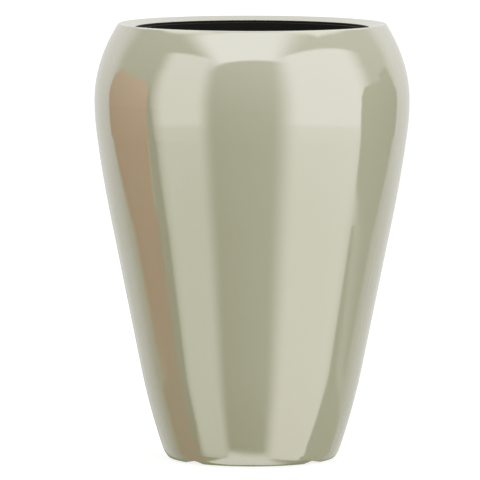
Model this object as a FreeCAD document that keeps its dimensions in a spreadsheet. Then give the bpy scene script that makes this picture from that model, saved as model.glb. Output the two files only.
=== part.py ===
import FreeCAD, Part

import math
import os
from types import SimpleNamespace

import Sketcher
from FreeCAD import Placement, Rotation, Vector

# Fibreglass floor planter with a hanging planting liner.
#
# The shell is a vase that swells from four moulded foot lobes to a high belly
# and turns in to a sloping lip. Below the lip a step carries the flange of a
# lift-out liner, which has two bail handles. A rubber bung closes the drain
# hole in the floor, where two shallow channels cross under the foot.
#
# Frame: +Z up on the axis of the vase, origin on the floor below its centre,
# front towards -Y. Lengths are in millimetres, angles in degrees.

DOC = FreeCAD.newDocument("fiberglass_planter")
SHEET = DOC.addObject("Spreadsheet::Sheet", "sizes")

# Each driving size of the planter: alias, value, what it is.
SIZES = [
    # Shell outline
    ("belly_radius", 252.9, "widest radius of the shell"),
    ("belly_height", 575.0, "height of the widest circle above the foot"),
    ("shoulder_rise", 124.6, "height of the crest above the belly"),
    ("shoulder_radius", 207.9, "profile radius just above the belly"),
    ("shoulder_sweep", 17.5, "angle that the shoulder arc turns through"),
    ("crest_curve_radius", 259.0, "profile radius from the shoulder to the crest"),
    ("flank_radius", 381.9, "profile radius just below the belly"),
    ("flank_sweep", 7.65, "angle that the flank arc turns through"),
    ("taper_radius", 2118.5, "profile radius of the long gentle curve"),
    ("taper_sweep", 3.75, "angle that the gentle curve turns through"),
    ("foot_radius", 1024.6, "profile radius of the lower body"),
    ("foot_sweep", 7.6, "angle that the lower body turns through"),
    ("heel_height", 14.0, "height of the rounded heel at the foot"),
    ("heel_radius", 37.0, "profile radius of the heel"),
    ("wall", 5.0, "laminate thickness"),
    # Lip and liner seat
    ("lip_width", 27.4, "width of the sloping lip, measured flat"),
    ("lip_fall", 6.8, "fall of the lip towards the mouth"),
    ("lip_edge_radius", 2.0, "rounding of the lip's inner edge"),
    ("crest_edge_radius", 4.0, "rounding of the crest"),
    ("seat_drop", 7.0, "depth of the liner seat below the lip's inner edge"),
    ("seat_width", 10.0, "width of the liner seat"),
    ("seat_return", 10.0, "depth of the return edge below the seat"),
    # Foot
    ("channel_height", 5.0, "height of a drainage channel under the foot"),
    ("channel_reach", 27.5, "half width of a channel where its sides level out"),
    ("channel_crown_radius", 34.0, "radius of a channel's roof"),
    ("channel_sink", 0.4, "depth below the foot where the sides level out"),
    ("channel_azimuth", 45.0, "turn of the channels from the front"),
    ("heel_edge_radius", 3.5, "rounding of the edge under the foot"),
    ("cut_overrun", 10.0, "how far a cut runs past the face it starts on"),
    # Drain
    ("recess_radius", 30.0, "radius of the recess where the channels cross"),
    ("recess_height", 6.0, "height of that recess"),
    ("drain_radius", 13.0, "radius of the drain hole"),
    # Foot pads
    ("pad_radius", 14.0, "radius of a foot pad"),
    ("pad_thickness", 3.0, "thickness of a foot pad"),
    ("pad_proud", 0.8, "how far a pad stands below the foot"),
    ("pad_inset", 23.4, "distance of a pad from the edge of the flat under its lobe"),
    ("pad_clearance", 0.4, "gap round a pad in its recess"),
    ("pad_edge", 0.5, "chamfer of a pad's lower edge"),
    # Liner
    ("liner_clearance", 1.6, "gap between liner and shell all round"),
    ("seat_gap", 0.2, "gap under the liner's flange"),
    ("liner_depth", 286.0, "depth of the liner below its flange"),
    ("liner_wall", 3.0, "thickness of the liner"),
    ("liner_draft", 5.0, "lean of the liner's side from upright"),
    ("liner_corner_radius", 16.0, "rounding at the foot of the liner"),
    ("flange_thickness", 3.6, "thickness of the liner's flange"),
    ("flange_edge_radius", 1.2, "rounding of the flange's edges"),
    ("band_depth", 40.0, "depth of the wider band under the flange"),
    ("band_step", 1.4, "how far the band stands out of the side"),
    ("liner_middle_radius", 8.0, "radius of the drain hole in the middle of the liner"),
    ("liner_hole_radius", 6.0, "radius of each drain hole round it"),
    ("liner_hole_inset", 26.0, "from the circle of studs in to the circle of drain holes"),
    ("liner_hole_count", 8, "drain holes on that circle"),
    ("stud_height", 9.0, "height of a standing stud under the liner"),
    ("stud_radius", 9.0, "radius of a standing stud"),
    ("stud_inset", 9.5, "distance of a stud from the rounding at the foot of the liner"),
    ("stud_count", 6, "standing studs"),
    ("stud_edge", 1.5, "chamfer of a stud"),
    # Bail handles and their lugs
    ("bail_half_width", 48.0, "half distance between a bail's arms"),
    ("bail_length", 84.0, "from the pivot down to the middle of the grip bar"),
    ("bail_rod_radius", 3.2, "radius of a bail's rod"),
    ("bail_bend_radius", 12.0, "bend radius at a bail's lower corners"),
    ("pivot_bend_radius", 5.0, "bend radius where a bail turns into its lugs"),
    ("bail_clearance", 1.5, "gap between a hanging bail and the liner's side"),
    ("grip_radius", 6.5, "radius of the moulded grip"),
    ("grip_length", 58.0, "length of the moulded grip"),
    ("grip_edge_radius", 2.5, "rounding of the grip's ends"),
    ("pivot_drop", 22.0, "bail pivots are this far below the flange's underside"),
    ("pivot_clearance", 0.1, "gap round a bail's end in its lug"),
    ("lug_gap", 0.8, "gap between the end of a bail's bend and its lug"),
    ("lug_thickness", 7.0, "thickness of a lug along the pivot"),
    ("lug_radius", 7.5, "half height of a lug and reach of its nose"),
    ("lug_edge_radius", 5.0, "rounding of a lug's nose"),
    # Drain bung
    ("bung_head_radius", 22.0, "radius of the bung's head"),
    ("bung_head_height", 4.5, "height of the bung's head"),
    ("bung_stem_clearance", 0.25, "gap round the bung's stem"),
    ("bung_stem_taper", 1.2, "loss of radius towards the stem's end"),
    ("bung_stem_end", 3.4, "height of the stem's end above the foot"),
    ("bung_stem_edge", 1.2, "chamfer of the stem's end"),
    ("bung_neck_radius", 5.5, "radius of the neck under the knob"),
    ("bung_neck_height", 7.0, "height of that neck"),
    ("bung_knob_radius", 9.5, "radius of the bung's pull knob"),
    ("bung_knob_height", 8.0, "height of the knob"),
    ("bung_edge_radius", 1.5, "rounding of the head and knob"),
    ("bung_seat_gap", 0.2, "gap between the bung's head and the floor"),
]


class Size:
    """A size with the number that it has now and the formula that gives it."""

    def __init__(self, value, formula):
        self.value = value
        self.formula = formula

    def __add__(self, other):
        return Size(self.value + other.value, f"({self.formula} + {other.formula})")

    def __sub__(self, other):
        return Size(self.value - other.value, f"({self.formula} - {other.formula})")

    def __mul__(self, other):
        return Size(self.value * other.value, f"({self.formula} * {other.formula})")

    def __truediv__(self, other):
        return Size(self.value / other.value, f"({self.formula} / {other.formula})")

    def __neg__(self):
        return Size(-self.value, f"(-1 * {self.formula})")

    def times(self, factor):
        """Multiply by a count, such as 2 for both sides."""
        return Size(self.value * factor, f"({self.formula} * {factor})")

    def root(self):
        return Size(math.sqrt(self.value), f"sqrt({self.formula})")

    def sine(self):
        return Size(math.sin(math.radians(self.value)), f"sin({self.formula} * 1 deg)")

    def cosine(self):
        return Size(math.cos(math.radians(self.value)), f"cos({self.formula} * 1 deg)")

    def tangent(self):
        return Size(math.tan(math.radians(self.value)), f"tan({self.formula} * 1 deg)")


ZERO = Size(0, "0")
ONE = Size(1, "1")


def fill_sheet():
    """Put every size in the sheet under its name."""
    named = {}
    for row, (alias, value, meaning) in enumerate(SIZES, start=1):
        SHEET.set(f"A{row}", meaning)
        SHEET.set(f"B{row}", str(value))
        SHEET.setAlias(f"B{row}", alias)
        named[alias] = Size(value, f"sizes.{alias}")
    DOC.recompute()
    return SimpleNamespace(**named)


size = fill_sheet()

# The outline leans in above the belly by the shoulder arc, then the crest arc.
shoulder_sine = size.shoulder_sweep.sine()
shoulder_cosine = size.shoulder_sweep.cosine()
crest_rise = size.shoulder_rise - size.shoulder_radius * shoulder_sine
crest_sine = shoulder_sine + crest_rise / size.crest_curve_radius
crest_cosine = (ONE - crest_sine * crest_sine).root()
shoulder_inset = size.shoulder_radius * (ONE - shoulder_cosine)
crest_inset = size.crest_curve_radius * (shoulder_cosine - crest_cosine)

# Below the belly the outline leans in by the flank, taper and foot arcs, with a
# straight cone between the last two, and the heel turns in to the flat under the foot.
flank_lean = size.flank_sweep
taper_lean = flank_lean + size.taper_sweep
foot_lean = taper_lean + size.foot_sweep
flank_inset = size.flank_radius * (ONE - flank_lean.cosine())
flank_drop = size.flank_radius * flank_lean.sine()
taper_inset = size.taper_radius * (flank_lean.cosine() - taper_lean.cosine())
taper_drop = size.taper_radius * (taper_lean.sine() - flank_lean.sine())
foot_inset = size.foot_radius * (taper_lean.cosine() - foot_lean.cosine())
foot_rise = size.foot_radius * (foot_lean.sine() - taper_lean.sine())
cone_foot_height = size.heel_height + foot_rise
cone_drop = size.belly_height - flank_drop - taper_drop - cone_foot_height
cone_inset = cone_drop * taper_lean.tangent()
heel_top_radius = size.belly_radius - flank_inset - taper_inset - cone_inset - foot_inset
heel_centre_radius = heel_top_radius - size.heel_radius * foot_lean.cosine()
heel_centre_height = size.heel_height + size.heel_radius * foot_lean.sine()
heel_reach_squared = (size.heel_radius * size.heel_radius
                      - heel_centre_height * heel_centre_height)
flat_radius = heel_centre_radius + heel_reach_squared.root()
pad_circle_radius = flat_radius - size.pad_inset - size.pad_radius

# Heights and radii that several pieces share. Shell heights are from its foot.
crest_radius = size.belly_radius - shoulder_inset - crest_inset
crest_height = size.belly_height + size.shoulder_rise
mouth_radius = crest_radius - size.lip_width
lip_height = crest_height - size.lip_fall
seat_height = lip_height - size.seat_drop
seat_radius = mouth_radius - size.seat_width
return_height = seat_height - size.seat_return
flange_height = size.pad_proud + seat_height + size.seat_gap
floor_height = size.recess_height + size.wall

# The liner's radii, with heights from the underside of its flange.
flange_radius = mouth_radius - size.liner_clearance
band_radius = seat_radius - size.liner_clearance
side_radius = band_radius - size.band_step
side_thickness = size.liner_wall / size.liner_draft.cosine()
side_slope = size.liner_draft.tangent()


def side_radius_at(depth):
    """Outer radius of the liner's drafted side, some way below its flange."""
    return side_radius - (depth - size.band_depth) * side_slope


liner_foot_radius = side_radius_at(size.liner_depth)
stud_reach = liner_foot_radius - size.liner_corner_radius - size.stud_inset
stud_circle_radius = stud_reach - size.stud_radius
liner_hole_circle_radius = stud_circle_radius - size.liner_hole_inset

# A hanging bail clears the drafted side where its lowest corner swings.
bail_foot_depth = size.pivot_drop + size.bail_length + size.grip_radius
bail_corner = size.bail_half_width + size.bail_rod_radius
inner_side_at_bail = side_radius_at(bail_foot_depth) - side_thickness
pivot_reach = (
    (inner_side_at_bail * inner_side_at_bail - bail_corner * bail_corner).root()
    - size.bail_rod_radius
    - size.bail_clearance
)
lug_start = size.bail_half_width + size.pivot_bend_radius + size.lug_gap
lug_end = lug_start + size.lug_thickness


def new_body(label):
    body = DOC.addObject("PartDesign::Body", label)
    body.Label = label
    return body


def origin_feature(body, role):
    """Find one of the body's own origin planes or axes."""
    for feature in body.Origin.OriginFeatures:
        if feature.Role == role:
            return feature
    raise ValueError(f"{body.Label} has no {role}")


def new_sketch(body, name, role, offset=None, turn=None):
    """Start a sketch on an origin plane, moved along its normal or turned about its upright."""
    sketch = body.newObject("Sketcher::SketchObject", name)
    sketch.AttachmentSupport = (origin_feature(body, role), [""])
    sketch.MapMode = "FlatFace"
    if offset is not None:
        sketch.setExpression("AttachmentOffset.Base.z", offset.formula + " * 1 mm")
    if turn is not None:
        upright = Rotation(Vector(0, 1, 0), turn.value)
        sketch.AttachmentOffset = Placement(Vector(), upright)
        sketch.setExpression("AttachmentOffset.Rotation.Angle", turn.formula + " * 1 deg")
    return sketch


def line(sketch, start, end):
    return sketch.addGeometry(Part.LineSegment(Vector(*start, 0), Vector(*end, 0)))


def arc(sketch, centre, radius, start_angle, end_angle):
    """Add an arc that runs anticlockwise between two angles in radians."""
    ring = Part.Circle(Vector(*centre, 0), Vector(0, 0, 1), radius)
    return sketch.addGeometry(Part.ArcOfCircle(ring, start_angle, end_angle))


def rule(sketch, kind, *args):
    """Add a constraint without a size."""
    return sketch.addConstraint(Sketcher.Constraint(kind, *args))


def bind(sketch, kind, args, wanted, name):
    """Add a constraint whose size follows the sheet."""
    start = math.radians(wanted.value) if kind == "Angle" else wanted.value
    unit = "deg" if kind == "Angle" else "mm"
    index = sketch.addConstraint(Sketcher.Constraint(kind, *args, start))
    sketch.renameConstraint(index, name)
    sketch.setExpression(f"Constraints.{name}", f"{wanted.formula} * 1 {unit}")
    return index


def place_point(sketch, geometry, end, x, y, name):
    """Tie a point to its distances from the sketch's origin, where they are given."""
    for kind, axis, wanted in (("DistanceX", -2, x), ("DistanceY", -1, y)):
        if wanted is ZERO:
            rule(sketch, "PointOnObject", geometry, end, axis)
        elif wanted is not None:
            bind(sketch, kind, (-1, 1, geometry, end), wanted, name + kind[-1].lower())


def polygon(sketch, corners, name):
    """Draw a closed outline through corners, each a pair of sizes."""
    points = [(x.value, y.value) for x, y in corners]
    sides = []
    for start, end in zip(points, points[1:] + points[:1]):
        sides.append(line(sketch, start, end))
    for side, following in zip(sides, sides[1:] + sides[:1]):
        rule(sketch, "Coincident", side, 2, following, 1)
    for index, (side, (x, y)) in enumerate(zip(sides, corners)):
        place_point(sketch, side, 1, x, y, f"{name}{index}")
    return sides


def circle(sketch, x, y, radius, name):
    """Draw a circle about a point given by two sizes."""
    ring = Part.Circle(Vector(x.value, y.value, 0), Vector(0, 0, 1), radius.value)
    geometry = sketch.addGeometry(ring)
    place_point(sketch, geometry, 3, x, y, name)
    bind(sketch, "Radius", (geometry,), radius, name + "r")
    return geometry


def revolve(body, sketch, name, kind="PartDesign::Revolution"):
    turned = body.newObject(kind, name)
    turned.Profile = sketch
    turned.ReferenceAxis = (sketch, ["V_Axis"])
    turned.Angle = 360
    DOC.recompute()
    return turned


def pad(body, sketch, name, length=None, reverse=False, midplane=False):
    """Raise the sketch by a length, or up to the first face where none is given."""
    raised = body.newObject("PartDesign::Pad", name)
    raised.Profile = sketch
    raised.Reversed = reverse
    raised.Midplane = midplane
    if length is None:
        raised.Type = "UpToFirst"
    else:
        raised.setExpression("Length", length.formula + " * 1 mm")
    DOC.recompute()
    return raised


def pocket(body, sketch, name, length=None, reverse=False, midplane=False):
    """Cut the sketch to a depth, or right through where none is given."""
    volume = body.Shape.Volume
    cut = body.newObject("PartDesign::Pocket", name)
    cut.Profile = sketch
    cut.Reversed = reverse
    cut.Midplane = midplane
    if length is None:
        cut.Type = "ThroughAll"
    else:
        cut.setExpression("Length", length.formula + " * 1 mm")
    DOC.recompute()
    if not body.Shape.Volume < volume:
        raise ValueError(f"{name} cuts nothing")
    return cut


def around_axis(body, features, name, copies, angle=360):
    """Repeat features about the body's upright axis."""
    ring = body.newObject("PartDesign::PolarPattern", name)
    ring.Originals = features
    ring.Axis = (origin_feature(body, "Z_Axis"), [""])
    ring.Angle = angle
    if isinstance(copies, Size):
        ring.setExpression("Occurrences", copies.formula)
    else:
        ring.Occurrences = copies
    body.Tip = ring
    DOC.recompute()
    return ring


def soften(body, base, name, wanted, radius, kind="Fillet"):
    """Round or chamfer the edges of a feature whose middle point passes a test."""
    names = []
    for index, edge in enumerate(base.Shape.Edges, start=1):
        middle = edge.valueAt((edge.FirstParameter + edge.LastParameter) / 2)
        if wanted(edge, middle):
            names.append(f"Edge{index}")
    if not names:
        raise ValueError(f"{name} finds no edge")
    softened = body.newObject("PartDesign::" + kind, name)
    softened.Base = (base, names)
    field = "Radius" if kind == "Fillet" else "Size"
    softened.setExpression(field, radius.formula + " * 1 mm")
    DOC.recompute()
    return softened


def from_axis(point):
    return math.hypot(point.x, point.y)


def near(value, wanted):
    """Tell whether a measured length is the wanted size."""
    return abs(value - wanted.value) < size.wall.value / 100


def ring_at(radius, height):
    """Make a test for round edges about the axis at a radius and height."""
    def matches(edge, middle):
        return near(from_axis(middle), radius) and near(middle.z, height)
    return matches


def polar(centre, radius, angle):
    return (centre[0] + radius * math.cos(angle), centre[1] + radius * math.sin(angle))


def vase_side(sketch, inset):
    """Draw the smooth side from the heel to the crest, set in by an even thickness.

    Return the side's curves from the bottom up. The top one's upper end is left free.
    """
    thickness = inset.value
    flank = math.radians(flank_lean.value)
    taper = math.radians(taper_lean.value)
    foot = math.radians(foot_lean.value)
    shoulder = math.radians(size.shoulder_sweep.value)
    crest = math.asin(crest_sine.value)

    # Below the belly each curve starts where the one above it ends
    belly = (size.belly_radius.value, size.belly_height.value)
    flank_radius = size.flank_radius.value
    flank_centre = (belly[0] - flank_radius, belly[1])
    flank_foot = polar(flank_centre, flank_radius, -flank)
    taper_radius = size.taper_radius.value
    taper_centre = polar(flank_foot, -taper_radius, -flank)
    taper_foot = polar(taper_centre, taper_radius, -taper)
    foot_radius = size.foot_radius.value
    cone_foot = (taper_foot[0] - cone_inset.value, cone_foot_height.value)
    foot_centre = polar(cone_foot, -foot_radius, -taper)
    heel_centre = (heel_centre_radius.value, heel_centre_height.value)
    heel_radius = size.heel_radius.value
    heel = math.asin((heel_centre[1] - thickness) / (heel_radius - thickness))

    # Above the belly the shoulder arc turns into the crest arc
    shoulder_radius = size.shoulder_radius.value
    shoulder_centre = (belly[0] - shoulder_radius, belly[1])
    shoulder_top = polar(shoulder_centre, shoulder_radius, shoulder)
    crest_curve = size.crest_curve_radius.value
    crest_centre = polar(shoulder_top, -crest_curve, shoulder)

    heel_arc = arc(sketch, heel_centre, heel_radius - thickness, -heel, -foot)
    foot_arc = arc(sketch, foot_centre, foot_radius - thickness, -foot, -taper)
    cone = line(sketch, polar(cone_foot, -thickness, -taper),
                polar(taper_foot, -thickness, -taper))
    taper_arc = arc(sketch, taper_centre, taper_radius - thickness, -taper, -flank)
    flank_arc = arc(sketch, flank_centre, flank_radius - thickness, -flank, 0)
    shoulder_arc = arc(sketch, shoulder_centre, shoulder_radius - thickness, 0, shoulder)
    crest_arc = arc(sketch, crest_centre, crest_curve - thickness, shoulder, crest)
    curves = [heel_arc, foot_arc, cone, taper_arc, flank_arc, shoulder_arc, crest_arc]
    for lower, upper in zip(curves, curves[1:]):
        rule(sketch, "Tangent", lower, 2, upper, 1)

    rule(sketch, "Horizontal", flank_arc, 3, flank_arc, 2)
    belly_radius = size.belly_radius - inset
    place_point(sketch, flank_arc, 2, belly_radius, size.belly_height, "belly")
    heel_height = size.heel_height + inset * foot_lean.sine()
    place_point(sketch, foot_arc, 1, None, heel_height, "heel")
    bind(sketch, "Radius", (heel_arc,), size.heel_radius - inset, "heel_radius")
    bind(sketch, "Radius", (foot_arc,), size.foot_radius - inset, "foot_radius")
    bind(sketch, "Radius", (taper_arc,), size.taper_radius - inset, "taper_radius")
    bind(sketch, "Radius", (flank_arc,), size.flank_radius - inset, "flank_radius")
    bind(sketch, "Radius", (shoulder_arc,), size.shoulder_radius - inset, "shoulder_radius")
    bind(sketch, "Radius", (crest_arc,), size.crest_curve_radius - inset, "crest_radius")
    bind(sketch, "Angle", (foot_arc,), size.foot_sweep, "foot_sweep")
    bind(sketch, "Angle", (taper_arc,), size.taper_sweep, "taper_sweep")
    bind(sketch, "Angle", (flank_arc,), size.flank_sweep, "flank_sweep")
    bind(sketch, "Angle", (shoulder_arc,), size.shoulder_sweep, "shoulder_sweep")
    return curves


def close_outline(sketch, curves, corners):
    """Close the side with straight lines through corners, from its top end to its heel."""
    heel = curves[0]
    top = curves[-1]
    toe = sketch.getPoint(heel, 1)
    crown = sketch.getPoint(top, 2)
    points = [(crown.x, crown.y)] + [(x.value, y.value) for x, y in corners] + [(toe.x, toe.y)]
    sides = []
    for start, end in zip(points, points[1:]):
        sides.append(line(sketch, start, end))
    chain = [top] + sides + [heel]
    for side, following in zip(chain, chain[1:]):
        rule(sketch, "Coincident", side, 2, following, 1)
    for index, (side, (x, y)) in enumerate(zip(sides, corners)):
        place_point(sketch, side, 2, x, y, f"corner{index}")
    rule(sketch, "Horizontal", sides[-1])
    return sides


def vase_outline(sketch):
    """Draw the half section of the solid vase, closed across its mouth."""
    curves = vase_side(sketch, ZERO)
    sides = close_outline(sketch, curves, [
        (mouth_radius, lip_height),
        (mouth_radius, seat_height),
        (seat_radius, seat_height),
        (seat_radius, return_height),
        (ZERO, return_height),
        (ZERO, ZERO),
    ])
    place_point(sketch, sides[0], 1, None, crest_height, "crest")


def hollow_outline(sketch):
    """Draw the half section of the hollow, one laminate inside the vase."""
    curves = vase_side(sketch, size.wall)
    under_lip_radius = mouth_radius + size.wall
    lip_slope = size.lip_fall / size.lip_width
    lip_length = (size.lip_fall * size.lip_fall + size.lip_width * size.lip_width).root()
    lip_thickness = size.wall * lip_length / size.lip_width
    under_lip_height = lip_height + size.wall * lip_slope - lip_thickness
    sides = close_outline(sketch, curves, [
        (under_lip_radius, under_lip_height),
        (under_lip_radius, seat_height - size.wall),
        (seat_radius + size.wall, seat_height - size.wall),
        (seat_radius + size.wall, return_height),
        (ZERO, return_height),
        (ZERO, size.wall),
    ])
    lip_lean = Size(math.degrees(math.atan(lip_slope.value)),
                    f"atan({lip_slope.formula}) / 1 deg")
    half_turn = Size(180, "180")
    bind(sketch, "Angle", (sides[0],), lip_lean - half_turn, "lip_lean")


def channel_section(sketch, inset):
    """Draw a channel's section: a round roof that runs out level in soft sides.

    With an inset it is the hump that the laminate makes over the channel.
    """
    thickness = inset.value
    rise = size.channel_height.value + size.channel_sink.value
    reach = size.channel_reach.value
    crown = size.channel_crown_radius.value
    side = (reach * reach + rise * rise) / (2 * rise) - crown
    level = thickness - size.channel_sink.value
    roof_centre = (0, size.channel_height.value - crown)
    side_centre_height = side - size.channel_sink.value
    sweep = math.atan2(reach, side_centre_height - roof_centre[1])
    upright = math.pi / 2
    floor = -size.cut_overrun.value

    roof = arc(sketch, roof_centre, crown + thickness, upright - sweep, upright + sweep)
    right_centre = (reach, side_centre_height)
    left_centre = (-reach, side_centre_height)
    side -= thickness
    right = arc(sketch, right_centre, side, -upright - sweep, -upright)
    left = arc(sketch, left_centre, side, -upright, -upright + sweep)
    right_drop = line(sketch, (reach, level), (reach, floor))
    bottom = line(sketch, (reach, floor), (-reach, floor))
    left_rise = line(sketch, (-reach, floor), (-reach, level))

    rule(sketch, "Tangent", roof, 1, right, 1)
    rule(sketch, "Tangent", roof, 2, left, 2)
    rule(sketch, "Coincident", right, 2, right_drop, 1)
    rule(sketch, "Coincident", right_drop, 2, bottom, 1)
    rule(sketch, "Coincident", bottom, 2, left_rise, 1)
    rule(sketch, "Coincident", left_rise, 2, left, 1)
    rule(sketch, "PointOnObject", roof, 3, -2)
    rule(sketch, "Vertical", right_drop)
    rule(sketch, "Vertical", left_rise)
    rule(sketch, "Horizontal", bottom)
    rule(sketch, "Vertical", right, 3, right, 2)
    rule(sketch, "Vertical", left, 3, left, 1)
    level_height = inset - size.channel_sink
    place_point(sketch, right, 2, size.channel_reach, level_height, "right")
    place_point(sketch, left, 1, -size.channel_reach, level_height, "left")
    place_point(sketch, bottom, 1, None, -size.cut_overrun, "bottom")
    bind(sketch, "Radius", (roof,), size.channel_crown_radius + inset, "roof_radius")
    roof_middle = size.channel_height - size.channel_crown_radius
    place_point(sketch, roof, 3, None, roof_middle, "roof")


def cut_foot(body, inset):
    """Cut the crossed channels and the round recess where they meet, or their humps."""
    section = new_sketch(body, body.Label + "_channel_outline", "XZ_Plane",
                         turn=size.channel_azimuth)
    channel_section(section, inset)
    channel = pocket(body, section, body.Label + "_channel", midplane=True)
    around_axis(body, [channel], body.Label + "_channels", 2, angle=90)
    well = new_sketch(body, body.Label + "_recess_outline", "XY_Plane")
    circle(well, ZERO, ZERO, size.recess_radius + inset, "recess")
    return pocket(body, well, body.Label + "_recess", size.recess_height + inset, reverse=True)


def shell_hollow():
    """Make the solid that leaves an even laminate when it is cut from the vase."""
    body = new_body("shell_hollow")
    outline = new_sketch(body, "hollow_outline", "XZ_Plane")
    hollow_outline(outline)
    revolve(body, outline, "hollow")
    cut_foot(body, size.wall)
    return body


def planter_shell():
    """Mould the vase: outline, channels, even laminate, drain, pad recesses."""
    hollow = shell_hollow()
    body = new_body("planter_shell")
    outline = new_sketch(body, "vase_outline", "XZ_Plane")
    vase_outline(outline)
    revolve(body, outline, "vase")
    solid = cut_foot(body, ZERO)

    volume = solid.Shape.Volume
    laminate = body.newObject("PartDesign::Boolean", "laminate")
    laminate.Type = "Cut"
    laminate.setObjects([hollow])
    DOC.recompute()
    if not laminate.Shape.Volume < volume:
        raise ValueError("the laminate fills the vase")

    drain = new_sketch(body, "drain_outline", "XY_Plane")
    circle(drain, ZERO, ZERO, size.drain_radius, "drain")
    pocket(body, drain, "drain_hole", floor_height + size.cut_overrun, reverse=True)

    pad_place = new_sketch(body, "pad_recess_outline", "XY_Plane")
    pad_recess_radius = size.pad_radius + size.pad_clearance
    circle(pad_place, pad_circle_radius, ZERO, pad_recess_radius, "pad")
    pad_sink = size.pad_thickness - size.pad_proud
    pad_recess = pocket(body, pad_place, "pad_recess", pad_sink, reverse=True)
    recesses = around_axis(body, [pad_recess], "pad_recesses", 4)

    crest = soften(body, recesses, "crest_edge", ring_at(crest_radius, crest_height),
                   size.crest_edge_radius)
    lip = soften(body, crest, "lip_edge", ring_at(mouth_radius, lip_height),
                 size.lip_edge_radius)

    def heel_edge(edge, middle):
        """Pick the arcs between the heel and the flat under each lobe."""
        outside = from_axis(middle) > pad_circle_radius.value + pad_recess_radius.value
        return outside and near(middle.z, ZERO) and near(edge.BoundBox.ZMax, ZERO)

    soften(body, lip, "heel_edge", heel_edge, size.heel_edge_radius)
    body.setExpression("Placement.Base.z", size.pad_proud.formula + " * 1 mm")
    return body


def planting_liner():
    """Mould the lift-out liner with its flange, band, lugs, drain holes and studs."""
    body = new_body("planting_liner")
    depth = size.liner_depth
    outer = new_sketch(body, "liner_outline", "XZ_Plane")
    polygon(outer, [
        (ZERO, -depth),
        (side_radius_at(depth), -depth),
        (side_radius, -size.band_depth),
        (band_radius, -size.band_depth),
        (band_radius, ZERO),
        (flange_radius, ZERO),
        (flange_radius, size.flange_thickness),
        (ZERO, size.flange_thickness),
    ], "outer")
    revolve(body, outer, "liner_block")

    floor_depth = depth - size.liner_wall
    band_floor = size.band_depth - size.liner_wall
    above = size.flange_thickness + size.cut_overrun
    inner = new_sketch(body, "liner_hollow_outline", "XZ_Plane")
    polygon(inner, [
        (ZERO, -floor_depth),
        (side_radius_at(floor_depth) - side_thickness, -floor_depth),
        (side_radius_at(band_floor) - side_thickness, -band_floor),
        (band_radius - size.liner_wall, -band_floor),
        (band_radius - size.liner_wall, above),
        (ZERO, above),
    ], "inner")
    hollow = revolve(body, inner, "liner_hollow", "PartDesign::Groove")
    inner_corner = ring_at(side_radius_at(floor_depth) - side_thickness, -floor_depth)
    floor_edge = soften(body, hollow, "liner_floor_edge", inner_corner,
                        size.liner_corner_radius - size.liner_wall)
    outer_corner = ring_at(side_radius_at(depth), -depth)
    soften(body, floor_edge, "liner_corner", outer_corner, size.liner_corner_radius)

    lug_outline = new_sketch(body, "lug_outline", "YZ_Plane",
                             offset=pivot_reach - size.lug_radius)
    lug_foot = -(size.pivot_drop + size.lug_radius)
    lug_top = size.lug_radius - size.pivot_drop
    for name, start, end in (("near", lug_start, lug_end), ("far", -lug_end, -lug_start)):
        polygon(lug_outline, [
            (start, lug_foot),
            (end, lug_foot),
            (end, lug_top),
            (start, lug_top),
        ], name)
    lugs = pad(body, lug_outline, "lugs")

    pivot_outline = new_sketch(body, "pivot_outline", "XZ_Plane")
    pivot_hole_radius = size.bail_rod_radius + size.pivot_clearance
    circle(pivot_outline, pivot_reach, -size.pivot_drop, pivot_hole_radius, "pivot")
    pivot_length = (lug_end + size.lug_gap).times(2)
    pivots = pocket(body, pivot_outline, "pivot_holes", pivot_length, midplane=True)
    around_axis(body, [lugs, pivots], "lugs_both_sides", 2)

    drain = new_sketch(body, "liner_drain_outline", "XY_Plane", offset=-depth)
    circle(drain, liner_hole_circle_radius, ZERO, size.liner_hole_radius, "hole")
    drain_depth = size.liner_wall + size.cut_overrun
    hole = pocket(body, drain, "liner_drain", drain_depth, reverse=True)
    around_axis(body, [hole], "liner_drains", size.liner_hole_count)
    middle_outline = new_sketch(body, "liner_middle_outline", "XY_Plane", offset=-depth)
    circle(middle_outline, ZERO, ZERO, size.liner_middle_radius, "middle")
    pocket(body, middle_outline, "liner_middle_drain", drain_depth, reverse=True)

    stud_outline = new_sketch(body, "stud_outline", "XY_Plane", offset=-depth)
    circle(stud_outline, stud_circle_radius, ZERO, size.stud_radius, "stud")
    stud = pad(body, stud_outline, "stud", size.stud_height, reverse=True)
    studs = around_axis(body, [stud], "studs", size.stud_count)

    def stud_end(edge, middle):
        """Pick the round edges at the studs' lower ends."""
        return near(edge.BoundBox.ZMax, -(depth + size.stud_height))

    trimmed = soften(body, studs, "stud_ends", stud_end, size.stud_edge, "Chamfer")
    flange_top = ring_at(flange_radius, size.flange_thickness)
    rounded = soften(body, trimmed, "flange_edge", flange_top, size.flange_edge_radius)

    def lug_nose(edge, middle):
        """Pick the level edges at the noses of the lugs."""
        straight = isinstance(edge.Curve, Part.Line)
        level = near(middle.z, lug_foot) or near(middle.z, lug_top)
        return straight and level and near(abs(middle.x), pivot_reach - size.lug_radius)

    soften(body, rounded, "lug_noses", lug_nose, size.lug_edge_radius)
    body.setExpression("Placement.Base.z", flange_height.formula + " * 1 mm")
    return body


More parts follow.
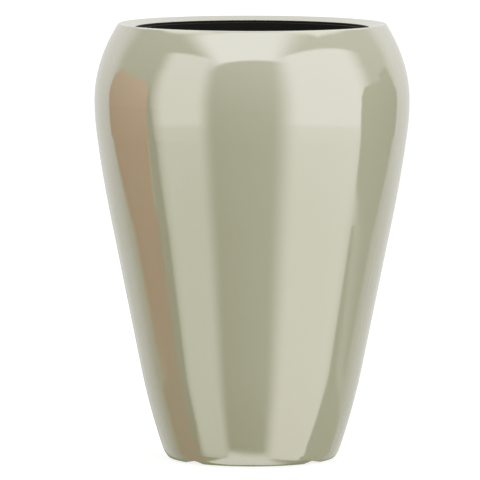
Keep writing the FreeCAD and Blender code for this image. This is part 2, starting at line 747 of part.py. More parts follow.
def bail_path(sketch):
    """Draw the line that a bail's rod follows, from one pivot end to the other."""
    half = size.bail_half_width.value
    length = size.bail_length.value
    bend = size.bail_bend_radius.value
    tight = size.pivot_bend_radius.value
    end = lug_end.value
    quarter = math.pi / 2
    near_end = line(sketch, (end, 0), (half + tight, 0))
    near_top = arc(sketch, (half + tight, -tight), tight, quarter, 2 * quarter)
    near_arm = line(sketch, (half, -tight), (half, bend - length))
    near_foot = arc(sketch, (half - bend, bend - length), bend, -quarter, 0)
    bar = line(sketch, (half - bend, -length), (bend - half, -length))
    far_foot = arc(sketch, (bend - half, bend - length), bend, -2 * quarter, -quarter)
    far_arm = line(sketch, (-half, bend - length), (-half, -tight))
    far_top = arc(sketch, (-half - tight, -tight), tight, 0, quarter)
    far_end = line(sketch, (-half - tight, 0), (-end, 0))

    rule(sketch, "Tangent", near_end, 2, near_top, 1)
    rule(sketch, "Tangent", near_top, 2, near_arm, 1)
    rule(sketch, "Tangent", near_arm, 2, near_foot, 2)
    rule(sketch, "Tangent", near_foot, 1, bar, 1)
    rule(sketch, "Tangent", bar, 2, far_foot, 2)
    rule(sketch, "Tangent", far_foot, 1, far_arm, 1)
    rule(sketch, "Tangent", far_arm, 2, far_top, 1)
    rule(sketch, "Tangent", far_top, 2, far_end, 1)
    for level in (near_end, bar, far_end):
        rule(sketch, "Horizontal", level)
    for upright in (near_arm, far_arm):
        rule(sketch, "Vertical", upright)
    place_point(sketch, near_end, 1, lug_end, ZERO, "near_end")
    place_point(sketch, near_arm, 1, size.bail_half_width, None, "near_arm")
    place_point(sketch, bar, 1, None, -size.bail_length, "bar")
    place_point(sketch, far_arm, 2, -size.bail_half_width, None, "far_arm")
    place_point(sketch, far_end, 2, -lug_end, ZERO, "far_end")
    bind(sketch, "Radius", (near_foot,), size.bail_bend_radius, "near_foot")
    bind(sketch, "Radius", (far_foot,), size.bail_bend_radius, "far_foot")


def liner_handle(label, side):
    """Bend a bail that hangs from its lugs, with a moulded grip on its bar."""
    body = new_body(label)
    path = new_sketch(body, label + "_path", "YZ_Plane")
    bail_path(path)
    section = new_sketch(body, label + "_rod", "XZ_Plane", offset=-lug_end)
    circle(section, ZERO, ZERO, size.bail_rod_radius, "rod")
    DOC.recompute()
    rod = body.newObject("PartDesign::AdditivePipe", label + "_bail")
    rod.Profile = section
    rod.Spine = (path, [])
    DOC.recompute()

    grip_outline = new_sketch(body, label + "_grip_outline", "XZ_Plane")
    circle(grip_outline, ZERO, -size.bail_length, size.grip_radius, "grip")
    grip = pad(body, grip_outline, label + "_grip", size.grip_length, midplane=True)

    def grip_end(edge, middle):
        """Pick the outer round edges at both ends of the grip."""
        if not isinstance(edge.Curve, Part.Circle):
            return False
        wide = near(edge.Curve.Radius, size.grip_radius)
        return wide and near(abs(middle.y) * 2, size.grip_length)

    soften(body, grip, label + "_grip_ends", grip_end, size.grip_edge_radius)
    body.setExpression("Placement.Base.x", f"{side} * {pivot_reach.formula} * 1 mm")
    height = flange_height - size.pivot_drop
    body.setExpression("Placement.Base.z", height.formula + " * 1 mm")
    return body


def drain_bung():
    """Turn the rubber bung: tapered stem, sealing head, neck and pull knob."""
    body = new_body("drain_bung")
    stem_radius = size.drain_radius - size.bung_stem_clearance
    stem_foot = size.bung_stem_end - floor_height - size.bung_seat_gap
    neck_top = size.bung_head_height + size.bung_neck_height
    knob_top = neck_top + size.bung_knob_height
    outline = new_sketch(body, "bung_outline", "XZ_Plane")
    polygon(outline, [
        (ZERO, stem_foot),
        (stem_radius - size.bung_stem_taper, stem_foot),
        (stem_radius, ZERO),
        (size.bung_head_radius, ZERO),
        (size.bung_head_radius, size.bung_head_height),
        (size.bung_neck_radius, size.bung_head_height),
        (size.bung_neck_radius, neck_top),
        (size.bung_knob_radius, neck_top),
        (size.bung_knob_radius, knob_top),
        (ZERO, knob_top),
    ], "bung")
    turned = revolve(body, outline, "bung")
    stem_end = ring_at(stem_radius - size.bung_stem_taper, stem_foot)
    tapered = soften(body, turned, "bung_stem_end", stem_end, size.bung_stem_edge, "Chamfer")

    def rims(edge, middle):
        """Pick the outer rims of the head's top and of the knob."""
        head = ring_at(size.bung_head_radius, size.bung_head_height)
        under_knob = ring_at(size.bung_knob_radius, neck_top)
        over_knob = ring_at(size.bung_knob_radius, knob_top)
        return head(edge, middle) or under_knob(edge, middle) or over_knob(edge, middle)

    soften(body, tapered, "bung_rims", rims, size.bung_edge_radius)
    height = size.pad_proud + floor_height + size.bung_seat_gap
    body.setExpression("Placement.Base.z", height.formula + " * 1 mm")
    return body


def foot_pad(label, across, along):
    """Cut a round pad that fills its recess under a lobe and stands proud of it."""
    body = new_body(label)
    outline = new_sketch(body, label + "_outline", "XY_Plane")
    circle(outline, ZERO, ZERO, size.pad_radius, "pad")
    disc = pad(body, outline, label + "_disc", size.pad_thickness)
    lower_edge = ring_at(size.pad_radius, ZERO)
    soften(body, disc, label + "_edge", lower_edge, size.pad_edge, "Chamfer")
    reach = pad_circle_radius.formula
    body.setExpression("Placement.Base.x", f"{across} * {reach} * 1 mm")
    body.setExpression("Placement.Base.y", f"{along} * {reach} * 1 mm")
    return body


def check_document():
    """Stop if any feature failed to compute."""
    DOC.recompute()
    for feature in DOC.Objects:
        if "Invalid" in feature.State or "Error" in feature.State:
            raise ValueError(f"{feature.Label} failed: {feature.State}")


def export(pieces):
    """Write each piece to its own file, named after it."""
    os.makedirs("parts", exist_ok=True)
    for piece in pieces:
        shape = piece.Shape
        if shape.isNull() or not shape.isValid() or not shape.Solids:
            raise ValueError(f"{piece.Label} has no sound solid")
        shape.exportStep(f"parts/{piece.Label}.step")
        low = shape.BoundBox
        print(f"{piece.Label}: {len(shape.Solids)} solid, {shape.Volume / 1000:.1f} cm3,"
              f" z {low.ZMin:.2f} to {low.ZMax:.2f}")


PIECES = [
    planter_shell(),
    planting_liner(),
    liner_handle("liner_handle_left", -1),
    liner_handle("liner_handle_right", 1),
    drain_bung(),
    foot_pad("foot_pad_front", 0, -1),
    foot_pad("foot_pad_back", 0, 1),
    foot_pad("foot_pad_left", -1, 0),
    foot_pad("foot_pad_right", 1, 0),
]
check_document()
export(PIECES)
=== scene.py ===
import math

import bpy
from mathutils import Matrix, Vector

# Fibreglass floor planter: camera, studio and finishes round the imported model.
#
# Lengths are in metres in the model's own frame: +Z up, front towards -Y.
# Directions are given as an azimuth, 0 at the front and growing towards +X,
# and an elevation above the horizon, both in degrees.

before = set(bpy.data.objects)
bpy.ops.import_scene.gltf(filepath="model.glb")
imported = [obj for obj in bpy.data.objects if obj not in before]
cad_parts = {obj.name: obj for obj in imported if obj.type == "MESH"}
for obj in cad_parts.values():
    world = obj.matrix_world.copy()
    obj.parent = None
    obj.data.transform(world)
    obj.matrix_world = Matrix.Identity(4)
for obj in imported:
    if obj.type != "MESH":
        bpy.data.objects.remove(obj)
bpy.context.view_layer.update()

# Camera, fitted to the photograph
CAMERA_AZIMUTH = -2.0
CAMERA_ELEVATION = 5.36
CAMERA_DISTANCE = 9.993
CAMERA_TARGET_HEIGHT = 0.3498
CAMERA_FIELD = 4.424
CAMERA_ROLL = math.degrees(0.002)
PHOTO_WIDTH = 480
AXIS_OFF_CENTRE_PIXELS = 11.8
MIDDLE_LOW_PIXELS = 0.55
SENSOR_WIDTH_MM = 36.0
FAR_CLIP = 200.0

# Sizes of the model that the finishes follow
LIP_EDGE_HEIGHT = 0.694
UNDER_LIP_HEIGHT = 0.6925
FLOOR_TOP = 0.1

# Parts of a face's normal, outward or up, that tell the shell's inside from its outside
FACES_THE_AXIS = -0.5
FACES_UP = 0.3
TIPS_UP = 0.05

# A direction meets a card, the ceiling or the ground only where it points to it by this much
LEAST_APPROACH = 0.02


def heading(azimuth, elevation=0.0):
    """Unit vector from the axis towards an azimuth and elevation."""
    turn = math.radians(azimuth)
    rise = math.radians(elevation)
    level = math.cos(rise)
    return Vector((math.sin(turn) * level, -math.cos(turn) * level, math.sin(rise)))


def make_camera():
    """The camera that took the photograph."""
    data = bpy.data.cameras.new("camera")
    data.sensor_width = SENSOR_WIDTH_MM
    data.lens = data.sensor_width / 2 / math.tan(math.radians(CAMERA_FIELD) / 2)
    data.shift_x = -AXIS_OFF_CENTRE_PIXELS / PHOTO_WIDTH
    data.shift_y = MIDDLE_LOW_PIXELS / PHOTO_WIDTH
    data.clip_end = FAR_CLIP
    camera = bpy.data.objects.new("camera", data)
    bpy.context.scene.collection.objects.link(camera)
    back = heading(CAMERA_AZIMUTH, CAMERA_ELEVATION)
    camera.location = Vector((0, 0, CAMERA_TARGET_HEIGHT)) + back * CAMERA_DISTANCE
    aim = (-back).to_track_quat("-Z", "Y").to_matrix()
    roll = Matrix.Rotation(math.radians(CAMERA_ROLL), 3, "Z")
    camera.rotation_euler = (aim @ roll).to_euler()
    bpy.context.scene.camera = camera


class Graph:
    """Short calls that add nodes to a node tree and join them."""

    def __init__(self, tree):
        self.tree = tree
        tree.nodes.clear()

    def node(self, kind, **settings):
        made = self.tree.nodes.new(kind)
        for name, value in settings.items():
            setattr(made, name, value)
        return made

    def feed(self, socket, value):
        """Join a socket to another socket, or set its own value."""
        if isinstance(value, bpy.types.NodeSocket):
            self.tree.links.new(value, socket)
        else:
            socket.default_value = value

    def outputs(self, kind, operation, values):
        """Add a maths node, feed its inputs in order and give its outputs."""
        made = self.node(kind, operation=operation)
        for socket, value in zip(made.inputs, values):
            self.feed(socket, value)
        return made.outputs

    def math(self, operation, *values):
        return self.outputs("ShaderNodeMath", operation, values)[0]

    def vector(self, operation, *values):
        return self.outputs("ShaderNodeVectorMath", operation, values)["Vector"]

    def dot(self, first, second):
        return self.outputs("ShaderNodeVectorMath", "DOT_PRODUCT", (first, second))["Value"]

    def product(self, *values):
        """Multiply any number of values."""
        made = values[0]
        for value in values[1:]:
            made = self.math("MULTIPLY", made, value)
        return made

    def length(self, first, second):
        """Length of a vector that lies flat."""
        return self.math("SQRT", self.math("MULTIPLY_ADD", first, first, self.product(second, second)))

    def rise(self, value, low, high, kind="SMOOTHSTEP"):
        """0 at low, 1 at high, and smooth or even between them."""
        made = self.node("ShaderNodeMapRange", interpolation_type=kind)
        self.feed(made.inputs["Value"], value)
        self.feed(made.inputs["From Min"], low)
        self.feed(made.inputs["From Max"], high)
        return made.outputs["Result"]

    def join(self, first, second, third):
        """Make a vector of three values."""
        made = self.node("ShaderNodeCombineXYZ")
        for socket, value in zip(made.inputs, (first, second, third)):
            self.feed(socket, value)
        return made.outputs[0]

    def mix(self, factor, first, second):
        """Blend two colours."""
        made = self.node("ShaderNodeMix", data_type="RGBA")
        self.feed(made.inputs["Factor"], factor)
        self.feed(made.inputs[6], first)
        self.feed(made.inputs[7], second)
        return made.outputs[2]


class Card:
    """A flat card or softbox that stands in the studio, facing the planter.

    Its corners are directions, each an azimuth and an elevation. They go
    anticlockwise on a chart whose azimuths grow to the right, and soft gives
    the width in degrees of the edge that each corner starts. Its colour goes
    from low to high over the span of elevations, is multiplied by the colours
    ends at its left and right, and loses the share dim near the floor.
    """

    def __init__(self, middle, corners, soft, span, low, high, ends=None, dim=None):
        self.middle = middle
        self.places = [place_on_card(corner, middle) for corner in corners]
        self.soft = soft
        self.span = span
        self.low = light(*low)
        self.high = light(*high)
        self.ends = ends
        self.dim = dim

    def sides(self):
        """The left and right ends of the card, across it."""
        across = [place[0] for place in self.places]
        return min(across), max(across)


def slope(angle):
    return math.tan(math.radians(angle))


def place_on_card(direction, middle):
    """Where a direction meets the upright plane one unit away at an azimuth."""
    azimuth, elevation = direction
    turn = math.radians(azimuth - middle)
    return math.tan(turn), slope(elevation) / math.cos(turn)


def light(red, green, blue):
    return (red, green, blue, 1.0)


def within_edge(graph, spot, start, end, softness):
    """1 at the left of the line from start to end, 0 at its right."""
    run = end[0] - start[0]
    climb = end[1] - start[1]
    length = math.hypot(run, climb)
    inward = (-climb / length, run / length)
    offset = inward[0] * start[0] + inward[1] * start[1]
    distance = graph.dot(spot, (inward[0], inward[1], -offset))
    # An angle covers more of the card away from its middle
    middle = ((start[0] + end[0]) / 2, (start[1] + end[1]) / 2)
    spread = 1 + (middle[0] * inward[0]) ** 2 + (middle[1] * inward[1]) ** 2
    half = math.radians(softness) / 2 * spread
    return graph.rise(distance, -half, half)


def card_colour(graph, direction, height, sunk, card, behind):
    """Lay the card over what is behind it."""
    ahead = graph.dot(direction, heading(card.middle))
    side = graph.dot(direction, heading(card.middle + 90))
    across = graph.math("DIVIDE", side, ahead)
    up = graph.math("DIVIDE", height, ahead)
    spot = graph.join(across, up, 1.0)
    mask = graph.math("GREATER_THAN", ahead, LEAST_APPROACH)
    following = card.places[1:] + card.places[:1]
    for start, end, softness in zip(card.places, following, card.soft):
        mask = graph.product(mask, within_edge(graph, spot, start, end, softness))
    level = graph.rise(up, slope(card.span[0]), slope(card.span[1]), "LINEAR")
    own = graph.mix(level, card.low, card.high)
    if card.ends:
        left, right = card.ends
        tint = graph.mix(graph.rise(across, *card.sides(), "LINEAR"), light(*left), light(*right))
        own = graph.vector("MULTIPLY", own, tint)
    if card.dim:
        lost = tuple(-share for share in card.dim)
        kept = graph.vector("MULTIPLY_ADD", graph.join(sunk, sunk, sunk), lost, (1, 1, 1))
        own = graph.vector("MULTIPLY", own, kept)
    return graph.mix(mask, behind, own)


# The room's colour ahead of the planter, and how it grows upwards and to the right
ROOM = (0.53, 0.523, 0.405)
ROOM_UP = (0.19, 0.19, 0.22)
ROOM_RIGHT = (0.09, 0.09, 0.10)

BACK_WALL = Card(
    middle=180,
    corners=[(127, -46), (233, -46), (233, 36.5), (127, 36.5)],
    soft=(8, 18, 8, 18),
    span=(-60, 18),
    low=(0.30, 0.30, 0.22),
    high=(0.855, 0.855, 0.825),
    ends=((1.03, 1.03, 1.03), (0.88, 0.865, 0.865)),
    dim=(0.10, 0.10, 0.12),
)
LEFT_SOFTBOX = Card(
    middle=-48,
    corners=[(-77.5, -37), (-36.5, -43), (-36.5, 37.7), (-77.5, 34.5)],
    soft=(2.5, 15, 2, 16),
    span=(-43, 38),
    low=(0.99, 0.98, 0.91),
    high=(1.085, 1.075, 1.06),
    dim=(0.24, 0.235, 0.30),
)
RIGHT_SOFTBOX = Card(
    middle=43,
    corners=[(22.5, -49), (52, -55.3), (92, -50.5), (92, 30.4), (22.5, 39.9)],
    soft=(8, 8, 20, 2, 22),
    span=(-53, 42),
    low=(1.20, 1.19, 1.16),
    high=(1.22, 1.225, 1.27),
    dim=(0.185, 0.195, 0.25),
)
RIGHT_BOARD = Card(
    middle=107,
    corners=[(86, -49), (130, -49), (130, -20), (92, -20), (78.3, -38), (78.3, -41.3)],
    soft=(4, 4, 1.5, 2, 2, 2),
    span=(-49, -20),
    low=(0.47, 0.47, 0.335),
    high=(0.44, 0.44, 0.30),
)
RIGHT_CARD = Card(
    middle=107,
    corners=[
        (89, -18.5), (117, -18.5), (130.3, -10), (130.3, 1),
        (121, 9), (90, 9), (85.3, 3), (85, -8),
    ],
    soft=(2,) * 8,
    span=(-20, 13),
    low=(0.46, 0.455, 0.32),
    high=(0.535, 0.53, 0.395),
    ends=((1.06, 1.06, 1.06), (0.85, 0.85, 0.85)),
)
RIGHT_CARD_TOP = Card(
    middle=116,
    corners=[(108, 5), (127, 5), (121, 12.5), (110, 12.5)],
    soft=(2,) * 4,
    span=(-20, 13),
    low=(0.44, 0.435, 0.30),
    high=(0.50, 0.495, 0.36),
)
LEFT_BOARD = Card(
    middle=-101,
    corners=[(-118, -60), (-79, -60), (-79, -38), (-82, -20), (-118, -20)],
    soft=(6, 5, 4, 1, 8),
    span=(-60, -20),
    low=(0.43, 0.33, 0.22),
    high=(0.34, 0.235, 0.11),
)
LEFT_CARD = Card(
    middle=-106,
    corners=[
        (-116, -18.8), (-89.5, -22.4), (-85.5, -12), (-82.3, -4), (-82.3, 2), (-85.8, 10.3),
        (-90, 12.8), (-119.5, 12.8), (-127, 9.3), (-130.8, 2), (-131, -10.5),
    ],
    soft=(1.6,) * 11,
    span=(-22, 13),
    low=(0.40, 0.215, 0.08),
    high=(0.66, 0.43, 0.28),
    ends=((0.8, 0.8, 0.8), (1.08, 1.08, 1.08)),
)
LEFT_GAP = Card(
    middle=-81,
    corners=[(-88, -34), (-76, -34), (-81, 0), (-83, 12), (-84, 12)],
    soft=(6, 5, 4, 2, 1),
    span=(-34, 12),
    low=(0.28, 0.27, 0.15),
    high=(0.38, 0.36, 0.24),
)

# From the farthest to the nearest
CARDS = [
    BACK_WALL,
    LEFT_SOFTBOX,
    RIGHT_SOFTBOX,
    RIGHT_BOARD,
    RIGHT_CARD,
    RIGHT_CARD_TOP,
    LEFT_BOARD,
    LEFT_CARD,
    LEFT_GAP,
]


# Overhead lights, placed on a ceiling one unit up by how far they are forwards
# and to the right. A pair of numbers is where an edge starts and ends.
CIRCLE_FORWARD = -0.7
ROUND_BOX_RIGHTWARD = 0.03
ROUND_BOX_RIM = (1.35, 1.30)
ROUND_BOX_BACK = (-1.45, -1.15)
ROUND_BOX_LIGHT = (1.25, 1.25, 1.25)
BEAM_RIGHTWARD = -0.1
BEAM_SIDE = (0.48, 0.34)
BEAM_BACK = (-0.15, 0.0)
LONG_BOX_RIGHTWARD = -0.02
LONG_BOX_RIM = (1.285, 1.325)
LONG_BOX_BACK = 0.2
LONG_BOX_FRONT = (1.265, 1.185)
LONG_BOX_LEFT = (-1.04, -0.58)
LONG_BOX_RIGHT = (0.80, 0.22)
LONG_BOX_LIGHT = (1.29, 1.29, 1.36)


def add_ceiling(graph, colour, ahead, rightward, height):
    """A round softbox over the planter, and a long one that bends round it in front."""
    aloft = graph.math("GREATER_THAN", height, LEAST_APPROACH)
    front = graph.math("DIVIDE", ahead, height)
    right = graph.math("DIVIDE", rightward, height)
    from_centre = graph.math("SUBTRACT", front, CIRCLE_FORWARD)
    round_reach = graph.length(graph.math("SUBTRACT", right, ROUND_BOX_RIGHTWARD), from_centre)
    long_reach = graph.length(graph.math("SUBTRACT", right, LONG_BOX_RIGHTWARD), from_centre)
    # A beam crosses the round softbox in front of the planter
    off_beam = graph.math("ABSOLUTE", graph.math("SUBTRACT", right, BEAM_RIGHTWARD))
    beam = graph.product(graph.rise(front, *BEAM_BACK), graph.rise(off_beam, *BEAM_SIDE))
    round_box = graph.product(
        aloft,
        graph.rise(round_reach, *ROUND_BOX_RIM),
        graph.rise(front, *ROUND_BOX_BACK),
        graph.math("SUBTRACT", 1.0, beam),
    )
    long_box = graph.product(
        aloft,
        graph.math("GREATER_THAN", front, LONG_BOX_BACK),
        graph.rise(long_reach, *LONG_BOX_RIM),
        graph.rise(front, *LONG_BOX_FRONT),
        graph.rise(right, *LONG_BOX_LEFT),
        graph.rise(right, *LONG_BOX_RIGHT),
    )
    colour = graph.mix(round_box, colour, light(*ROUND_BOX_LIGHT))
    return graph.mix(long_box, colour, light(*LONG_BOX_LIGHT))


# The ground close to the foot, placed on a plane one unit down in the same way
LIT_WIDTH = 0.8
LIT_RIM = (1.045, 1.0)
LIT_LEFT = (-0.78, -0.58)
LIT_RIGHT = (0.62, 0.25)
LIT_COLOUR = (1.0, 0.99, 0.945)
SHADOW_SLANT = 0.4
SHADOW_FRONT = (0.21, 0.11)
SHADOW_SIDE = (1.0, 0.85)
SHADOW_COLOUR = (0.3, 0.3, 0.2)


def add_ground(graph, colour, ahead, rightward, drop):
    """The lit ground ahead of the foot and the shadow under it."""
    low = graph.math("GREATER_THAN", drop, LEAST_APPROACH)
    front = graph.math("DIVIDE", ahead, drop)
    right = graph.math("DIVIDE", rightward, drop)
    reach = graph.length(front, graph.math("MULTIPLY", right, LIT_WIDTH))
    lit = graph.product(
        low,
        graph.rise(reach, *LIT_RIM),
        graph.rise(right, *LIT_LEFT),
        graph.rise(right, *LIT_RIGHT),
    )
    off_centre = graph.math("ABSOLUTE", right)
    slanted = graph.math("MULTIPLY_ADD", off_centre, SHADOW_SLANT, front)
    shadow = graph.product(
        low,
        graph.rise(slanted, *SHADOW_FRONT),
        graph.rise(off_centre, *SHADOW_SIDE),
    )
    colour = graph.mix(lit, colour, light(*LIT_COLOUR))
    return graph.mix(shadow, colour, light(*SHADOW_COLOUR))


# Light is lost towards the floor, quickly and then slowly, over these downward
# parts of a direction
QUICK_LOSS = 0.52
QUICK_LOSS_BAND = (0.165, 0.205)
SLOW_LOSS = 0.48
SLOW_LOSS_BAND = (0.2, 0.41)

# Backward part of a direction from which gloss mirrors the plain backdrop
BACKDROP_EDGE = (0.9985, 0.9995)


def make_world():
    """The studio: a room with cards and softboxes, seen only as light and reflections."""
    world = bpy.data.worlds.new("studio")
    bpy.context.scene.world = world
    world.use_nodes = True
    graph = Graph(world.node_tree)
    direction = graph.node("ShaderNodeTexCoord").outputs["Generated"]
    parts = graph.node("ShaderNodeSeparateXYZ")
    graph.feed(parts.inputs[0], direction)
    rightward = parts.outputs["X"]
    height = parts.outputs["Z"]
    drop = graph.math("MULTIPLY", height, -1.0)
    ahead = graph.dot(direction, heading(0))

    room = graph.vector("MULTIPLY_ADD", height, ROOM_UP, ROOM)
    colour = graph.vector("MULTIPLY_ADD", rightward, ROOM_RIGHT, room)
    quick = graph.product(graph.rise(drop, *QUICK_LOSS_BAND), QUICK_LOSS)
    slow = graph.product(graph.rise(drop, *SLOW_LOSS_BAND, "LINEAR"), SLOW_LOSS)
    sunk = graph.math("ADD", quick, slow)
    for card in CARDS:
        colour = card_colour(graph, direction, height, sunk, card, colour)
    colour = add_ceiling(graph, colour, ahead, rightward, height)
    colour = add_ground(graph, colour, ahead, rightward, drop)

    # The camera sees plain white, and so does gloss that mirrors the backdrop
    rays = graph.node("ShaderNodeLightPath")
    behind = graph.rise(graph.math("MULTIPLY", ahead, -1.0), *BACKDROP_EDGE)
    mirrored = graph.product(rays.outputs["Is Glossy Ray"], behind)
    white = graph.math("MAXIMUM", rays.outputs["Is Camera Ray"], mirrored)
    white = graph.math("MAXIMUM", white, rays.outputs["Is Transmission Ray"])
    colour = graph.mix(white, colour, light(1.0, 1.0, 1.0))

    shine = graph.node("ShaderNodeBackground")
    graph.feed(shine.inputs["Color"], colour)
    end = graph.node("ShaderNodeOutputWorld")
    graph.feed(end.inputs["Surface"], shine.outputs[0])


FLOOR_REACH = 60.0
FLOOR_COLOUR = (0.8, 0.8, 0.8)
FLOOR_SHADED = (0.3, 0.3, 0.3)
FLOOR_GLOW = 0.8


def make_floor():
    """A plain pale floor that keeps the planter's shadow and looks white to the camera."""
    mesh = bpy.data.meshes.new("floor")
    reach = FLOOR_REACH
    corners = [(-reach, -reach, 0), (reach, -reach, 0), (reach, reach, 0), (-reach, reach, 0)]
    mesh.from_pydata(corners, [], [(0, 1, 2, 3)])
    floor = bpy.data.objects.new("floor", mesh)
    bpy.context.scene.collection.objects.link(floor)
    floor.visible_glossy = False
    material = bpy.data.materials.new("floor")
    material.use_nodes = True
    graph = Graph(material.node_tree)
    pale = graph.node("ShaderNodeBsdfDiffuse")
    pale.inputs["Color"].default_value = light(*FLOOR_COLOUR)
    shaded = graph.node("ShaderNodeBsdfDiffuse")
    shaded.inputs["Color"].default_value = light(*FLOOR_SHADED)
    glow = graph.node("ShaderNodeEmission")
    glow.inputs["Strength"].default_value = FLOOR_GLOW
    both = graph.node("ShaderNodeAddShader")
    graph.feed(both.inputs[0], shaded.outputs[0])
    graph.feed(both.inputs[1], glow.outputs[0])
    rays = graph.node("ShaderNodeLightPath")
    choice = graph.node("ShaderNodeMixShader")
    graph.feed(choice.inputs[0], rays.outputs["Is Camera Ray"])
    graph.feed(choice.inputs[1], pale.outputs[0])
    graph.feed(choice.inputs[2], both.outputs[0])
    out = graph.node("ShaderNodeOutputMaterial")
    graph.feed(out.inputs["Surface"], choice.outputs[0])
    floor.data.materials.append(material)


def new_material(name):
    """A material and the graph of its nodes."""
    material = bpy.data.materials.new(name)
    material.use_nodes = True
    return material, Graph(material.node_tree)


def principled(graph, **values):
    """Add the surface shader and the output."""
    shader = graph.node("ShaderNodeBsdfPrincipled")
    for name, value in values.items():
        graph.feed(shader.inputs[name.replace("_", " ").title()], value)
    out = graph.node("ShaderNodeOutputMaterial")
    graph.feed(out.inputs["Surface"], shader.outputs[0])
    return shader


def bump(graph, height, distance):
    made = graph.node("ShaderNodeBump")
    made.inputs["Strength"].default_value = 1.0
    made.inputs["Distance"].default_value = distance
    graph.feed(made.inputs["Height"], height)
    return made.outputs[0]


def noise(graph, place, scale, detail):
    made = graph.node("ShaderNodeTexNoise")
    graph.feed(made.inputs["Vector"], place)
    made.inputs["Scale"].default_value = scale
    made.inputs["Detail"].default_value = detail
    made.inputs["Roughness"].default_value = 0.5
    return made.outputs["Fac"]


def inside_mask(graph):
    """1 on the black inside of the shell, which starts at the lip's inner edge."""
    geometry = graph.node("ShaderNodeNewGeometry")
    position = geometry.outputs["Position"]
    normal = geometry.outputs["True Normal"]
    outward = graph.vector("NORMALIZE", graph.vector("MULTIPLY", position, (1.0, 1.0, 0.0)))
    leaning_out = graph.dot(normal, outward)
    height = graph.dot(position, (0.0, 0.0, 1.0))
    rising = graph.dot(normal, (0.0, 0.0, 1.0))
    # Under the foot the channels lean in too, but they face down
    not_under_foot = graph.math(
        "MAXIMUM",
        graph.math("GREATER_THAN", height, FLOOR_TOP),
        graph.math("GREATER_THAN", rising, TIPS_UP),
    )
    wall = graph.product(
        graph.math("LESS_THAN", leaning_out, 0.0),
        graph.math("LESS_THAN", height, UNDER_LIP_HEIGHT),
        not_under_foot,
    )
    lip_edge = graph.product(
        graph.math("LESS_THAN", leaning_out, FACES_THE_AXIS),
        graph.math("LESS_THAN", height, LIP_EDGE_HEIGHT),
    )
    shell_floor = graph.product(
        graph.math("GREATER_THAN", rising, FACES_UP),
        graph.math("LESS_THAN", height, FLOOR_TOP),
    )
    return graph.math("MAXIMUM", graph.math("MAXIMUM", wall, lip_edge), shell_floor)


# Pearl lacquer: its colour, that of its flakes and of its slow drift, and their shares
PEARL = (0.625, 0.62, 0.52)
PEARL_FLAKES = (0.655, 0.652, 0.56)
FLAKE_SHARE = 0.25
FLAKE_SCALE = 900.0
PEARL_DRIFT = (0.605, 0.60, 0.50)
DRIFT_SHARE = 0.15
DRIFT_SCALE = 3.0
PEARL_METALLIC = 0.6
PEARL_ROUGHNESS = 0.05
LACQUER_ROUGHNESS = 0.02
LACQUER_IOR = 1.5
PEEL_SCALE = 60.0
PEEL_DEPTH = 0.000002

# Black flowcoat inside the shell
INSIDE_COLOUR = (0.013, 0.013, 0.0124)
INSIDE_ROUGHNESS = 0.5
INSIDE_GLOSS = (0.1, 0.1, 0.1)


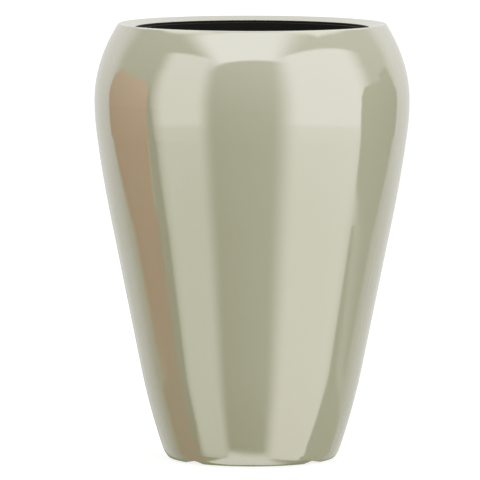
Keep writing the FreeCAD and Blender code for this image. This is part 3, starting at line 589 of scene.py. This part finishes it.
def gelcoat():
    """Pearl lacquer outside, black flowcoat inside the shell."""
    material, graph = new_material("pearl_gelcoat")
    place = graph.node("ShaderNodeTexCoord").outputs["Object"]
    inside = inside_mask(graph)
    flakes = noise(graph, place, FLAKE_SCALE, 1.0)
    drift = noise(graph, place, DRIFT_SCALE, 2.0)
    pearl = graph.mix(graph.product(flakes, FLAKE_SHARE), light(*PEARL), light(*PEARL_FLAKES))
    pearl = graph.mix(graph.product(drift, DRIFT_SHARE), pearl, light(*PEARL_DRIFT))
    colour = graph.mix(inside, pearl, light(*INSIDE_COLOUR))
    metallic = graph.math("MULTIPLY_ADD", inside, -PEARL_METALLIC, PEARL_METALLIC)
    rougher = INSIDE_ROUGHNESS - PEARL_ROUGHNESS
    roughness = graph.math("MULTIPLY_ADD", inside, rougher, PEARL_ROUGHNESS)
    shader = principled(graph, base_color=colour, metallic=metallic, roughness=roughness)
    tint = graph.mix(inside, light(1.0, 1.0, 1.0), light(*INSIDE_GLOSS))
    graph.feed(shader.inputs["Specular Tint"], tint)
    graph.feed(shader.inputs["Coat Weight"], graph.math("SUBTRACT", 1.0, inside))
    shader.inputs["Coat Roughness"].default_value = LACQUER_ROUGHNESS
    shader.inputs["Coat IOR"].default_value = LACQUER_IOR
    peel = noise(graph, place, PEEL_SCALE, 1.0)
    graph.feed(shader.inputs["Coat Normal"], bump(graph, peel, PEEL_DEPTH))
    return material


SCUFF_SCALE = 40.0
SCUFF_LIGHTER = 1.5
SCUFF_SHARE = 0.5
SCUFF_ROUGHNESS = 0.1


def moulded(name, colour, roughness, grain_scale, grain_depth, gloss=0.25):
    """Plastic or rubber with the fine grain of its mould and faint scuffs."""
    material, graph = new_material(name)
    place = graph.node("ShaderNodeTexCoord").outputs["Object"]
    grain = bump(graph, noise(graph, place, grain_scale, 2.0), grain_depth)
    scuffs = noise(graph, place, SCUFF_SCALE, 3.0)
    lighter = [level * SCUFF_LIGHTER for level in colour]
    shade = graph.mix(graph.product(scuffs, SCUFF_SHARE), light(*colour), light(*lighter))
    rough = graph.math("MULTIPLY_ADD", scuffs, SCUFF_ROUGHNESS, roughness)
    shader = principled(graph, base_color=shade, roughness=rough, normal=grain)
    shader.inputs["Specular IOR Level"].default_value = gloss
    return material


def dress(nodes, material):
    """Give CAD nodes a finish by their material slots."""
    for node in nodes:
        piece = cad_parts[node]
        if not piece.material_slots:
            piece.data.materials.append(material)
        for slot in piece.material_slots:
            slot.link = "OBJECT"
            slot.material = material


make_camera()
make_world()
make_floor()
dress(["planter_shell"], gelcoat())
dress(["planting_liner"], moulded(
    "liner_plastic", (0.018, 0.018, 0.0172),
    roughness=0.7, grain_scale=1800.0, grain_depth=0.00005, gloss=0.05,
))
dress(["liner_handle_left", "liner_handle_right"], moulded(
    "handle_plastic", (0.02, 0.02, 0.02),
    roughness=0.38, grain_scale=2500.0, grain_depth=0.00002,
))
dress(["drain_bung"], moulded(
    "bung_rubber", (0.025, 0.025, 0.025),
    roughness=0.7, grain_scale=1500.0, grain_depth=0.00003,
))
dress(["foot_pad_front", "foot_pad_back", "foot_pad_left", "foot_pad_right"], moulded(
    "pad_rubber", (0.04, 0.04, 0.04),
    roughness=0.75, grain_scale=1200.0, grain_depth=0.00004,
))

scene = bpy.context.scene
scene.view_settings.view_transform = "Standard"
